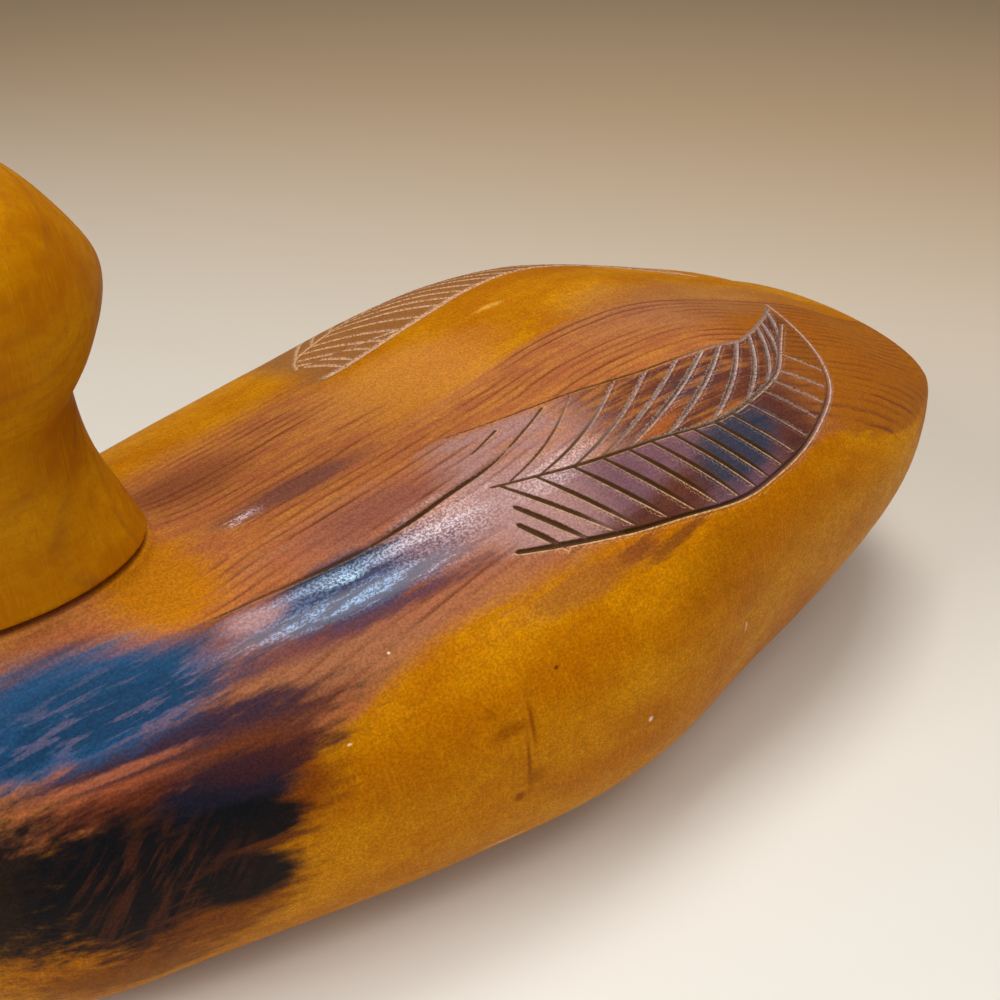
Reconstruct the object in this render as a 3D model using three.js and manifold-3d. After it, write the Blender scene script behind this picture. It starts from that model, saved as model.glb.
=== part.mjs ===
// A duck decoy carved from softwood at life size and lacquered, in two pieces: the body and the head.
// The head is carved apart and glued on a flat oval seat at the front of the back.
// Millimetres, with the planed underside at z = 0. +X points to the bill, +Y to the duck's left, +Z up.
import * as THREE from "three";
import { ParametricGeometry } from "three/addons/geometries/ParametricGeometry.js";
import { mergeVertices } from "three/addons/utils/BufferGeometryUtils.js";
import Module from "manifold-3d";

// Driving dimensions of the whole bird.
const TAIL_X = -185;
const BREAST_X = 147;
const BILL_X = 185;
const CROWN_Z = 175;

// The oval seat that carries the neck, and the hollows scooped on both sides behind it.
const SEAT = { x: 87, halfLength: 33, halfWidth: 22, z: 89, flare: 22 };
const HOLLOW = { x: 57, y: 21, radius: 10, depth: 2 };
const GLUE_GAP = 0.3;

// Knife and gouge cuts. The step is the long cut that parts the back from the shoulder.
const FEATHER_CUT = { width: 1.5, depth: 1.1 };
const STEP_CUT = { width: 2.4, depth: 1.4 };
const MOUTH_CUT = { width: 1.2, depth: 0.9 };
const CUT_LIFT = 1.0;
const CUT_END_LIFT = 0.15;

const WOOD = { color: 0xb8782a, roughness: 0.35, metalness: 0 };

const wasm = await Module();
wasm.setup();

const { clamp, lerp, degToRad, radToDeg } = THREE.MathUtils;

// A smooth line through points [place, value], each slope taken from the point's neighbours.
function profile(points) {
  const slope = points.map((point, i) => {
    const before = points[Math.max(i - 1, 0)];
    const after = points[Math.min(i + 1, points.length - 1)];
    return (after[1] - before[1]) / (after[0] - before[0]);
  });
  return (place) => {
    let i = 0;
    while (i < points.length - 2 && place > points[i + 1][0]) i += 1;
    const span = points[i + 1][0] - points[i][0];
    const t = (place - points[i][0]) / span;
    const lead = t * (1 - t) * (1 - t) * slope[i];
    const trail = t * t * (t - 1) * slope[i + 1];
    return lerp(points[i][1], points[i + 1][1], t * t * (3 - 2 * t)) + span * (lead + trail);
  };
}

// A point on an oval section that is squared off by its fullness: 2 is a true ellipse.
function ovalPoint(degrees, fullness) {
  const across = Math.sin(degToRad(degrees));
  const up = Math.cos(degToRad(degrees));
  const power = 2 / fullness;
  return [Math.sign(across) * Math.abs(across) ** power, Math.sign(up) * Math.abs(up) ** power];
}

// How far a section has swelled from nothing at the two rounded ends of a form.
function endSwell(x, from, to, fromRound, toRound, toPower) {
  const start = clamp((from + fromRound - x) / fromRound, 0, 1);
  const finish = clamp((x - to + toRound) / toRound, 0, 1);
  return Math.sqrt((1 - start ** 2) * (1 - finish ** toPower));
}

// The body's outlines along its length, as [x, size].
const halfWidth = profile([
  [TAIL_X, 35.5], [-165, 50], [-140, 63], [-115, 70], [-70, 75.5],
  [-25, 80.5], [25, 73.5], [85, 57.5], [BREAST_X, 47],
]);
const crest = profile([
  [TAIL_X, 71.5], [-165, 77.5], [-140, 87.5], [-90, 100], [-60, 101],
  [-25, 96.5], [55, 86.5], [100, 81.5], [BREAST_X, 77.5],
]);
const widest = profile([
  [TAIL_X, 64], [-140, 60], [-90, 61.5], [-60, 53.5],
  [-25, 44], [15, 42.5], [85, 43.5], [BREAST_X, 51.5],
]);
const keel = profile([[TAIL_X, 61], [-140, 28], [-90, -2], [-60, -4], [BREAST_X, -4]]);
const upperFullness = profile([
  [TAIL_X, 1.95], [-115, 2.1], [-60, 2.55], [15, 2.4], [85, 2.55], [BREAST_X, 2.4],
]);
const LOWER_FULLNESS = 2.3;
const TAIL_ROUND = 14;
const BREAST_ROUND = 62;
const BREAST_POWER = 2.2;

// The body's skin at x and an angle round it: 0 degrees on the back, 90 on the duck's left flank.
function bodySkin(x, degrees) {
  const upper = Math.cos(degToRad(degrees)) > 0;
  const [across, up] = ovalPoint(degrees, upper ? upperFullness(x) : LOWER_FULLNESS);
  const swell = endSwell(x, TAIL_X, BREAST_X, TAIL_ROUND, BREAST_ROUND, BREAST_POWER);
  const reach = upper ? crest(x) - widest(x) : widest(x) - keel(x);
  const y = halfWidth(x) * swell * across;
  const z = widest(x) + reach * swell * up;
  return new THREE.Vector3(x, y, upper ? z + neckRise(x, y, z) : z);
}

// The back rises to just under the seat all round it, and is hollowed beside and behind the neck.
function neckRise(x, y, z) {
  const out = Math.hypot((x - SEAT.x) / SEAT.halfLength, y / SEAT.halfWidth) - 1;
  const away = (out * (SEAT.halfLength + SEAT.halfWidth)) / 2 / SEAT.flare;
  const flare = clamp(1 - away, 0, 1) ** 2.2;
  const scoop = Math.hypot(x - HOLLOW.x, Math.abs(y) - HOLLOW.y) / HOLLOW.radius;
  return Math.max(0, SEAT.z - 1 - z) * flare - HOLLOW.depth * Math.exp(-scoop * scoop);
}

// The neck going up as ovals, each line as [z, size].
const NECK_FOOT_Z = SEAT.z + GLUE_GAP;
const NECK_TOP_Z = 150;
const NECK_EDGE = 1.2;
const neckCentre = profile([[NECK_FOOT_Z, SEAT.x], [105, 88], [125, 90], [NECK_TOP_Z, 92]]);
const neckHalfLength = profile([
  [NECK_FOOT_Z, SEAT.halfLength], [98, 30], [110, 26.5], [122, 25.5], [NECK_TOP_Z, 27],
]);
const neckHalfWidth = profile([
  [NECK_FOOT_Z, SEAT.halfWidth], [100, 19.5], [112, 18.5], [125, 20], [NECK_TOP_Z, 21],
]);

// The head and bill along their length, as [x, size].
const OCCIPUT_X = 55;
const headTop = profile([
  [OCCIPUT_X, 161], [68, 170], [88, CROWN_Z], [106, 172.5], [121, 161.5],
  [133, 152.5], [155, 146], [BILL_X, 139.5],
]);
const headBottom = profile([
  [OCCIPUT_X, 133], [68, 123], [84, 117.5], [102, 117], [118, 124],
  [133, 131.5], [160, 133], [BILL_X, 134.5],
]);
const headHalfWidth = profile([
  [OCCIPUT_X, 20], [70, 25.5], [90, 27.5], [106, 26], [120, 19],
  [134, 13], [150, 12.5], [170, 14.5], [BILL_X, 12],
]);
const OCCIPUT_ROUND = 24;
const BILL_ROUND = 9;
const HEAD_FULLNESS = 2.2;
const EYE = { x: 107, degrees: 60, radius: 4.8, sunk: 2.8 };
const NOSTRIL = { x: 139, degrees: 52, length: 5.5, height: 2.6 };
const MOUTH = { from: 119, to: 182, z: 138.5 };

function headSkin(x, degrees) {
  const [across, up] = ovalPoint(degrees, HEAD_FULLNESS);
  const swell = endSwell(x, OCCIPUT_X, BILL_X, OCCIPUT_ROUND, BILL_ROUND, 2);
  const centre = (headTop(x) + headBottom(x)) / 2;
  const reach = (headTop(x) - headBottom(x)) / 2;
  return new THREE.Vector3(x, headHalfWidth(x) * swell * across, centre + reach * swell * up);
}

// A manifold solid from a closed three.js geometry, with its faces turned out.
function solidOf(geometry) {
  const bare = new THREE.BufferGeometry();
  bare.setAttribute("position", geometry.getAttribute("position"));
  bare.setIndex(geometry.getIndex());
  const welded = mergeVertices(bare, 1e-4);
  const corners = welded.getIndex().array;
  const point = (i) => new THREE.Vector3().fromBufferAttribute(welded.getAttribute("position"), i);
  const faces = [];
  let volume = 0;
  for (let i = 0; i < corners.length; i += 3) {
    const [a, b, c] = corners.slice(i, i + 3);
    if (a === b || b === c || c === a) continue;
    faces.push([a, b, c]);
    volume += point(a).dot(point(b).cross(point(c)));
  }
  const outward = volume < 0 ? faces.map(([a, b, c]) => [a, c, b]) : faces;
  return new wasm.Manifold(
    new wasm.Mesh({
      numProp: 3,
      vertProperties: new Float32Array(welded.getAttribute("position").array),
      triVerts: new Uint32Array(outward.flat()),
    }),
  );
}

// A named mesh of lacquered wood from a manifold solid.
function woodMesh(name, solid) {
  const { vertProperties, triVerts } = solid.getMesh();
  const geometry = new THREE.BufferGeometry();
  geometry.setAttribute("position", new THREE.BufferAttribute(vertProperties, 3));
  geometry.setIndex(new THREE.BufferAttribute(triVerts, 1));
  geometry.computeVertexNormals();
  const mesh = new THREE.Mesh(geometry, new THREE.MeshStandardMaterial(WOOD));
  mesh.name = name;
  return mesh;
}

// A closed form whose rings are drawn by place(turn, share), turn round a ring and share along it.
function loft(place, sides, rings) {
  const fill = (turn, share, target) => target.copy(place(turn % 1, share));
  return solidOf(new ParametricGeometry(fill, sides, rings));
}

// A form along X whose rings lie closer together at its two ends.
function lengthwise(skin, from, to, sides, rings) {
  const place = (turn, share) => skin(lerp(from, to, (1 - Math.cos(Math.PI * share)) / 2), turn * 360);
  return loft(place, sides, rings);
}

// A V-shaped cut along a line on a skin. line(t) gives [x, degrees] for t from 0 to 1.
function cut(skin, line, { width, depth }, pieces) {
  const near = 0.01;
  const place = (turn, share) => {
    const [x, degrees] = line(share);
    const forward = skin(x + near, degrees).sub(skin(x - near, degrees));
    const round = skin(x, degrees + near).sub(skin(x, degrees - near));
    const normal = round.cross(forward).normalize();
    const ahead = skin(...line(Math.min(share + near, 1)));
    const behind = skin(...line(Math.max(share - near, 0)));
    const across = ahead.sub(behind).cross(normal).normalize();
    const point = skin(x, degrees);
    if (share === 0 || share === 1) return point.addScaledVector(normal, CUT_END_LIFT);
    const corner = Math.round(turn * 3);
    if (corner === 0) return point.addScaledVector(normal, -depth);
    const half = ((width / 2) * (depth + CUT_LIFT)) / depth;
    return point.addScaledVector(normal, CUT_LIFT).addScaledVector(across, corner === 1 ? half : -half);
  };
  return loft(place, 3, pieces);
}

// The feather pattern of the left wing as lines on the skin, in [x, degrees].
const wingVein = profile([[-125, 25], [-100, 35.5], [-78, 40.5], [-60, 39], [-35, 30], [-8, 25]]);
const innerEdge = profile([[-131, 13], [-110, 21.5], [-90, 23.5], [-60, 21], [-35, 15], [-10, 12]]);
const outerEdge = profile([
  [-131, 13], [-123, 30], [-111, 46], [-90, 58], [-70, 62], [-40, 53], [-20, 46.5], [-2, 40],
]);
const shoulderStep = profile([[-30, 15], [-16, 19.5], [7, 23], [22, 24.5], [55, 25]]);
const WING_TIP_X = -131;
const BARB_BOW = 1.5;
const OUTER_BARBS = { edge: outerEdge, count: 15, veinX: -9.5, edgeX: -24, step: -6.8 };
const INNER_BARBS = { edge: innerEdge, count: 11, veinX: -12.5, edgeX: -40, step: -8.7 };

// The stretch of a line on the skin from one x to another.
const stretch = (line, from, to) => (t) => [lerp(from, to, t), line(lerp(from, to, t))];

// A straight stroke between two places on the skin, which may bow towards the tail.
const stroke = (from, to, bow = 0) => (t) => [
  lerp(from[0], to[0], t) - bow * Math.sin(Math.PI * t),
  lerp(from[1], to[1], t),
];

function wingCuts() {
  const cuts = [
    cut(bodySkin, stretch(shoulderStep, 55, -30), STEP_CUT, 7),
    cut(bodySkin, stretch(wingVein, -8, -125), FEATHER_CUT, 10),
    cut(bodySkin, stretch(innerEdge, -10, WING_TIP_X), FEATHER_CUT, 9),
    cut(bodySkin, stretch(outerEdge, -2, WING_TIP_X), FEATHER_CUT, 15),
    cut(bodySkin, stroke([-12, 17], [-20, 15]), FEATHER_CUT, 2),
    cut(bodySkin, stroke([-9, 31], [-19, 46]), FEATHER_CUT, 3),
    cut(bodySkin, stroke([-6.5, 35], [-12, 43]), FEATHER_CUT, 2),
  ];
  for (const { edge, count, veinX, edgeX, step } of [OUTER_BARBS, INNER_BARBS]) {
    for (let i = 0; i < count; i += 1) {
      const from = [veinX + step * i, wingVein(veinX + step * i)];
      const to = [edgeX + step * i, edge(edgeX + step * i)];
      cuts.push(cut(bodySkin, stroke(from, to, BARB_BOW), FEATHER_CUT, 3));
    }
  }
  return cuts.reduce((joined, next) => joined.add(next));
}

function makeBody() {
  const block = lengthwise(bodySkin, TAIL_X, BREAST_X, 40, 34);
  const underFloor = solidOf(new THREE.BoxGeometry(600, 400, 40).translate(0, 0, -20));
  const oval = new THREE.Shape().absellipse(SEAT.x, 0, SEAT.halfLength, SEAT.halfWidth, 0, Math.PI * 2);
  const seatDepth = 25;
  const seat = new THREE.ExtrudeGeometry(oval, { depth: seatDepth, bevelEnabled: false, curveSegments: 40 });
  seat.translate(0, 0, SEAT.z - seatDepth);
  const leftCuts = wingCuts();
  return block
    .subtract(underFloor)
    .add(solidOf(seat))
    .subtract(leftCuts)
    .subtract(leftCuts.mirror([0, 1, 0]));
}

// The neck's rings: the middle of its foot, the foot's edge, the edge rounded off, then up into the head.
function neckSkin(turn, share, rings) {
  const ring = Math.round(share * rings);
  const climb = clamp((ring - 2) / (rings - 3), 0, 1);
  const z = ring < 2 ? NECK_FOOT_Z : lerp(NECK_FOOT_Z + NECK_EDGE, NECK_TOP_Z, climb);
  const inset = ring < 2 ? NECK_EDGE : 0;
  const open = ring === 0 || ring === rings ? 0 : 1;
  const angle = turn * Math.PI * 2;
  return new THREE.Vector3(
    neckCentre(z) + open * (neckHalfLength(z) - inset) * Math.cos(angle),
    open * (neckHalfWidth(z) - inset) * Math.sin(angle),
    z,
  );
}

// The line of the closed bill, as [x, degrees] on the head's skin.
function mouthLine(t) {
  const x = lerp(MOUTH.from, MOUTH.to, t);
  const top = headSkin(x, 0).z;
  const bottom = headSkin(x, 180).z;
  const lift = clamp((MOUTH.z - (top + bottom) / 2) / ((top - bottom) / 2), -1, 1);
  return [x, radToDeg(Math.acos(Math.sign(lift) * Math.abs(lift) ** (HEAD_FULLNESS / 2)))];
}

function makeHead() {
  const rings = 9;
  const neck = loft((turn, share) => neckSkin(turn, share, rings), 24, rings);
  let head = lengthwise(headSkin, OCCIPUT_X, BILL_X, 22, 26).add(neck);
  for (const side of [1, -1]) {
    const cheek = headSkin(EYE.x, side * EYE.degrees);
    const eye = new THREE.SphereGeometry(EYE.radius, 12, 8);
    eye.translate(cheek.x, cheek.y - side * EYE.sunk, cheek.z);
    const hole = headSkin(NOSTRIL.x, side * NOSTRIL.degrees);
    const nostril = new THREE.SphereGeometry(1, 10, 6);
    nostril.scale(NOSTRIL.length / 2, NOSTRIL.height / 2, NOSTRIL.height / 2);
    nostril.translate(hole.x, hole.y, hole.z);
    const mouth = (t) => [mouthLine(t)[0], side * mouthLine(t)[1]];
    head = head.add(solidOf(eye)).subtract(solidOf(nostril)).subtract(cut(headSkin, mouth, MOUTH_CUT, 6));
  }
  return head;
}

const decoy = new THREE.Group();
decoy.add(woodMesh("body", makeBody()), woodMesh("head", makeHead()));
export default decoy;
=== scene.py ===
import math

import bmesh
import bpy
import numpy as np
from mathutils import Matrix, Vector, kdtree, noise


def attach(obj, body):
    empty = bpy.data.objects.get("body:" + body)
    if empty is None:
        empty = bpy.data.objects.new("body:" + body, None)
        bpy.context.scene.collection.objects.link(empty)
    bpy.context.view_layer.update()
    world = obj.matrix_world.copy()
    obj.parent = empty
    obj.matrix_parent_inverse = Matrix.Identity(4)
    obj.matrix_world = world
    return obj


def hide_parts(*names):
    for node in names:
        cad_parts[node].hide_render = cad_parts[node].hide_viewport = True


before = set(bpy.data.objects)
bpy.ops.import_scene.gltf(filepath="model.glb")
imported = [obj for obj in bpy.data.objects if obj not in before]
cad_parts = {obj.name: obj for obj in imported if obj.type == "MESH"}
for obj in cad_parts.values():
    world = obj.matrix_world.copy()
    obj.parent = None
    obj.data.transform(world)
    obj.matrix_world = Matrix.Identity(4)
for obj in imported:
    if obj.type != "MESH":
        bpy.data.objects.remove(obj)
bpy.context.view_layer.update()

# The body: one block of softwood carved to a floating duck's shape, planed flat underneath,
# with the wing feathers cut by a gouge on both sides. It is rubbed with brown and blue-black
# stain on the upper parts and finished in amber varnish. Sizes are in millimetres.
TAIL_X = -185
BREAST_X = 147
TAIL_ROUND = 14
BREAST_ROUND = 62
BREAST_POWER = 2.2
LOWER_FULLNESS = 2.3
UNDERSIDE_EASE = 1.5
SEAT_X, SEAT_HALF_LENGTH, SEAT_HALF_WIDTH, SEAT_Z, SEAT_FLARE = 87, 33, 22, 89, 22
SEAT_LIP = 1.0
HOLLOW_X, HOLLOW_Y, HOLLOW_RADIUS, HOLLOW_DEPTH = 57, 21, 10, 2


def profile(*points):
    """A smooth line through points (place, value), each slope taken from the point's neighbours."""
    places, values = np.array(points, float).T
    before = np.maximum(np.arange(len(points)) - 1, 0)
    after = np.minimum(np.arange(len(points)) + 1, len(points) - 1)
    slopes = (values[after] - values[before]) / (places[after] - places[before])

    def at(place):
        i = np.clip(np.searchsorted(places, place) - 1, 0, len(points) - 2)
        span = places[i + 1] - places[i]
        t = (place - places[i]) / span
        lead = t * (1 - t) ** 2 * slopes[i]
        trail = t * t * (t - 1) * slopes[i + 1]
        return values[i] + (values[i + 1] - values[i]) * t * t * (3 - 2 * t) + span * (lead + trail)

    return at


half_width = profile(
    (TAIL_X, 35.5), (-165, 50), (-140, 63), (-115, 70), (-70, 75.5),
    (-25, 80.5), (25, 73.5), (85, 57.5), (BREAST_X, 47),
)
crest = profile(
    (TAIL_X, 71.5), (-165, 77.5), (-140, 87.5), (-90, 100), (-60, 101),
    (-25, 96.5), (55, 86.5), (100, 81.5), (BREAST_X, 77.5),
)
widest = profile(
    (TAIL_X, 64), (-140, 60), (-90, 61.5), (-60, 53.5),
    (-25, 44), (15, 42.5), (85, 43.5), (BREAST_X, 51.5),
)
keel = profile((TAIL_X, 61), (-140, 28), (-90, -2), (-60, -4), (BREAST_X, -4))
upper_fullness = profile(
    (TAIL_X, 1.95), (-115, 2.1), (-60, 2.55), (15, 2.4), (85, 2.55), (BREAST_X, 2.4),
)


def oval(degrees, fullness):
    """Across and up on an oval section squared off by its fullness: 2 is a true ellipse."""
    across, up = np.sin(np.radians(degrees)), np.cos(np.radians(degrees))
    power = 2 / fullness
    return np.sign(across) * np.abs(across) ** power, np.sign(up) * np.abs(up) ** power


def end_swell(x, start, stop, start_round, stop_round, stop_power):
    """How far a section has swelled from nothing at the two rounded ends of a form."""
    near_start = np.clip((start + start_round - x) / start_round, 0, 1)
    near_stop = np.clip((x - stop + stop_round) / stop_round, 0, 1)
    return np.sqrt((1 - near_start**2) * (1 - near_stop**stop_power))


def eased(value, low, high):
    """0 below low, 1 above high and a smooth rise between."""
    t = np.clip((value - low) / (high - low), 0, 1)
    return t * t * (3 - 2 * t)


def body_skin(x, degrees):
    """Points of the body at x and an angle round it: 0 on the back, 90 on the duck's left flank."""
    upper = np.abs(degrees) < 90
    across, up = oval(degrees, np.where(upper, upper_fullness(x), LOWER_FULLNESS))
    swell = end_swell(x, TAIL_X, BREAST_X, TAIL_ROUND, BREAST_ROUND, BREAST_POWER)
    y = half_width(x) * swell * across
    z = widest(x) + np.where(upper, crest(x) - widest(x), widest(x) - keel(x)) * swell * up
    from_seat = np.hypot((x - SEAT_X) / SEAT_HALF_LENGTH, y / SEAT_HALF_WIDTH) - 1
    outside = from_seat * (SEAT_HALF_LENGTH + SEAT_HALF_WIDTH) / 2
    flare = np.clip(1 - outside / SEAT_FLARE, 0, 1) ** 2.2
    scoop = np.hypot(x - HOLLOW_X, np.abs(y) - HOLLOW_Y) / HOLLOW_RADIUS
    lip = SEAT_LIP * eased(-outside, -0.5, 0.5)
    rise = np.maximum(0, SEAT_Z - SEAT_LIP - z) * flare - HOLLOW_DEPTH * np.exp(-scoop * scoop) + lip
    z = np.where(upper, z + rise, z)
    z = np.where(upper & (outside < -0.5), SEAT_Z, z)
    underside = np.clip(z + UNDERSIDE_EASE, 0, None) ** 2 / (4 * UNDERSIDE_EASE)
    return np.stack([x + 0 * z, y, np.where(z < UNDERSIDE_EASE, underside, z)], axis=-1)


# The gouge cuts as lines on the skin, each running from its start to its fading end. A cut's
# size is its width and depth in the middle, the share of them left at its start and end, how
# dark it is painted inside at start and end, as shade in the hollow and dried stain, and how clear the painted
# highlight on its pale burr is at start and end.
WING_TIP_X = -131
FRONT_CUT = (1.5, 0.95, 0.8, 0.5, 1.0, 0.4, 0.2, 0.7)
BARB_CUT = (1.25, 0.85, 0.5, 0.45, 1.0, 0.15, 0.35, 0.9)
MIDDLE_CUT = (1.1, 0.7, 0.6, 0.45, 0.8, 0.5, 0.4, 0.8)
TIP_CUT = (0.85, 0.4, 0.6, 0.6, 0.6, 0.4, 0.5, 0.7)
FIRST_INNER_CUT = (0.65, 0.35, 0.8, 0.5, 0.6, 0.45, 0.1, 0.3)
EARLY_INNER_CUT = (0.8, 0.45, 0.6, 0.7, 0.7, 0.5, 0.2, 0.5)
INNER_CUT = (1.15, 0.7, 0.5, 0.7, 0.75, 0.6, 0.5, 0.8)
VEIN_CUT = (1.1, 0.7, 0.6, 0.8, 1.0, 0.3, 0.3, 0.8)
EDGE_CUT = (1.4, 0.9, 0.8, 0.8, 0.95, 0.45, 0.7, 1.0)
MIDDLE_EDGE_CUT = (0.95, 0.7, 1.4, 1.1, 0.9, 0.4, 1.0, 1.0)
LATE_EDGE_CUT = (1.35, 0.75, 0.8, 0.8, 0.45, 0.25, 1.0, 1.0)
FAINT_CUT = (0.6, 0.3, 0.6, 1.3, 0.6, 0.65, 0.1, 0.5)
FRONT_STEP_CUT = (0.6, 0.4, 0.6, 0.8, 0.5, 0.6, 0.1, 0.2)
STEP_CUT = (0.85, 0.7, 0.5, 0.4, 1.0, 0.6, 0.1, 0.2)
FAR_CUT = (1.0, 0.6, 0.7, 0.7, 0.75, 0.55, 0.2, 0.4)
FAR_EDGE_CUT = (1.3, 0.7, 0.8, 0.8, 0.75, 0.55, 0.5, 0.8)
EDGE_INSET = 0.8
CUT_SPACING = 0.12

wing_vein = profile((-125, 20), (-111, 28), (-95, 37), (-78, 40.3), (-65, 39.8), (-45, 34), (-8, 25))
inner_edge = profile((-131, 12.5), (-116, 19), (-98, 24), (-87, 23.3), (-60, 19.7), (-39, 15), (-9, 11.3))
outer_edge = profile(
    (-131, 12.5), (-127, 21), (-119.5, 35.9), (-110.8, 46.5), (-97.5, 54.5), (-83, 60.4),
    (-68, 61.6), (-57.5, 60), (-39.6, 52.7), (-23, 47.1), (-2.5, 40.8),
)
far_vein = profile(
    (-125, 20), (-111, 28), (-95, 37), (-78, 41.5), (-55, 41.5), (-33, 37), (-17, 31), (-9, 27), (-5, 19.5),
)
far_inner_edge = profile(
    (-131, 12.5), (-116, 20), (-98, 25), (-76, 23), (-60, 19.5), (-46, 16.5), (-28, 14), (-13, 12.5), (-5, 12.5),
)
shoulder_step = profile((-33, 15.2), (-25, 17.5), (-13, 20.6), (0, 22.4), (13, 24.4), (27, 25.4), (58, 25))

# Where each barb leaves the vein and where it ends at the wing's edge, as places along the body.
OUTER_BARBS = (
    (-10, -25), (-18, -30), (-26.5, -38), (-33.5, -45), (-40, -51.5), (-46, -58), (-52, -64), (-57.5, -69),
    (-64, -75), (-70, -81), (-77, -88), (-84.5, -96), (-91, -103), (-97, -109.5), (-105, -115),
)
INNER_BARBS = (
    (-12, -41), (-19, -52), (-27, -61), (-33, -71), (-40, -80), (-51, -87), (-64, -94),
    (-77, -102), (-88, -110), (-99, -115), (-103, -125),
)
FAR_INNER_BARBS = (
    (-6, -13), (-7.5, -17), (-9, -23), (-13, -27.5), (-17, -34), (-22.5, -41.5), (-27.5, -49), (-32.5, -54),
    (-38, -59), (-44, -64.5), (-51, -71.5), (-58, -77), (-66, -84), (-74, -91), (-82, -98), (-90, -105),
    (-98, -112), (-105, -119),
)


def stroke(start, end, sag=0):
    """A stroke between two places (x, degrees), sagging down the flank by some degrees."""
    t = np.linspace(0, 1, 400)
    x = start[0] + (end[0] - start[0]) * t
    return x, start[1] + (end[1] - start[1]) * t + sag * np.sin(math.pi * t)


def stretch(line, start, end, lift=0):
    """The stretch of a line on the skin from one x to another, lifted up the flank by some degrees."""
    x = np.linspace(start, end, 1200)
    return x, line(x) - lift


def barbs(places, vein, edge, stop_short, sag=0):
    """The strokes of the feather barbs from the vein, stopping some degrees short of the wing's edge."""
    return [stroke((start, vein(start)), (end, edge(end) - stop_short), sag) for start, end in places]


outer_barbs = barbs(OUTER_BARBS, wing_vein, outer_edge, 1.3)
inner_barbs = barbs(INNER_BARBS, wing_vein, inner_edge, -0.5, 1.2)
step_cuts = [(stretch(shoulder_step, 57, 22), FRONT_STEP_CUT), (stretch(shoulder_step, 22, -18), STEP_CUT),
             (stretch(shoulder_step, -18, -33), FAINT_CUT)]
near_cuts = step_cuts + [
    (stretch(wing_vein, -8, -122), VEIN_CUT),
    (stretch(inner_edge, -9, WING_TIP_X), FAINT_CUT),
    (stretch(outer_edge, -2.5, -27, EDGE_INSET), EDGE_CUT),
    (stretch(outer_edge, -26, -62, EDGE_INSET), MIDDLE_EDGE_CUT),
    (stretch(outer_edge, -61, WING_TIP_X, EDGE_INSET), LATE_EDGE_CUT),
    (stroke((-10.5, 17.3), (-20, 14.8)), FAINT_CUT),
    (stroke((-9, 31), (-18.3, 45)), FRONT_CUT),
    (stroke((-6.8, 34.7), (-12.4, 43.7)), FRONT_CUT),
    (inner_barbs[0], FIRST_INNER_CUT),
]
near_cuts += [(line, BARB_CUT) for line in outer_barbs[:5]]
near_cuts += [(line, MIDDLE_CUT) for line in outer_barbs[5:9]]
near_cuts += [(line, TIP_CUT) for line in outer_barbs[9:]]
near_cuts += [(line, EARLY_INNER_CUT) for line in inner_barbs[1:4]]
near_cuts += [(line, INNER_CUT) for line in inner_barbs[4:]]
far_cuts = step_cuts + [
    (stretch(far_vein, -6, -122), FAR_CUT),
    (stretch(far_inner_edge, -6, WING_TIP_X), FAR_EDGE_CUT),
    (stretch(outer_edge, -2.5, WING_TIP_X, EDGE_INSET), FAR_EDGE_CUT),
]
far_cuts += [(line, FAR_CUT) for line in barbs(OUTER_BARBS, far_vein, outer_edge, 1.3)]
far_cuts += [(line, FAR_CUT) for line in barbs(FAR_INNER_BARBS, far_vein, far_inner_edge, 0.5, 1.0)]


def cut_samples(skin, line, width, depth, start_share, end_share, *tones):
    """Points along a cut, as rows (x, y, z, half width, depth, painted darkness, burr, way to the burr's side)."""
    points = skin(*line)
    lower = skin(line[0], line[1] + 0.5) - points
    along = np.concatenate([[0], np.cumsum(np.linalg.norm(np.diff(points, axis=0), axis=1))])
    ahead = np.gradient(points, axis=0)
    ahead /= np.linalg.norm(ahead, axis=1)[:, None]
    aside = lower - ahead * np.sum(lower * ahead, axis=1)[:, None]
    aside /= np.linalg.norm(aside, axis=1)[:, None]
    places = np.arange(0, along[-1], CUT_SPACING)
    share = places / along[-1]
    taper = np.interp(share, (0, 0.3, 0.65, 1), (start_share, 1, 1, end_share))
    taper *= np.minimum(1, 0.45 + places / 1.2)
    stain = np.interp(share, (0.45, 1), tones[:2])
    burr = np.interp(share, (0.2, 0.8), tones[2:])
    rows = [np.interp(places, along, column) for column in points.T]
    rows += [width / 2 * taper, depth * taper, stain, burr]
    rows += [np.interp(places, along, column) for column in aside.T]
    return np.stack(rows, axis=-1)


MIRROR = (1, -1, 1, 1, 1, 1, 1, 1, -1, 1)
near_samples = [cut_samples(body_skin, line, *size) for line, size in near_cuts]
far_samples = [cut_samples(body_skin, line, *size) * MIRROR for line, size in far_cuts]
body_cuts = np.concatenate(near_samples + far_samples)


def point_tree(points):
    """A tree that finds the nearest of some points."""
    tree = kdtree.KDTree(len(points))
    for i, point in enumerate(points):
        tree.insert(point, i)
    tree.balance()
    return tree


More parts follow.
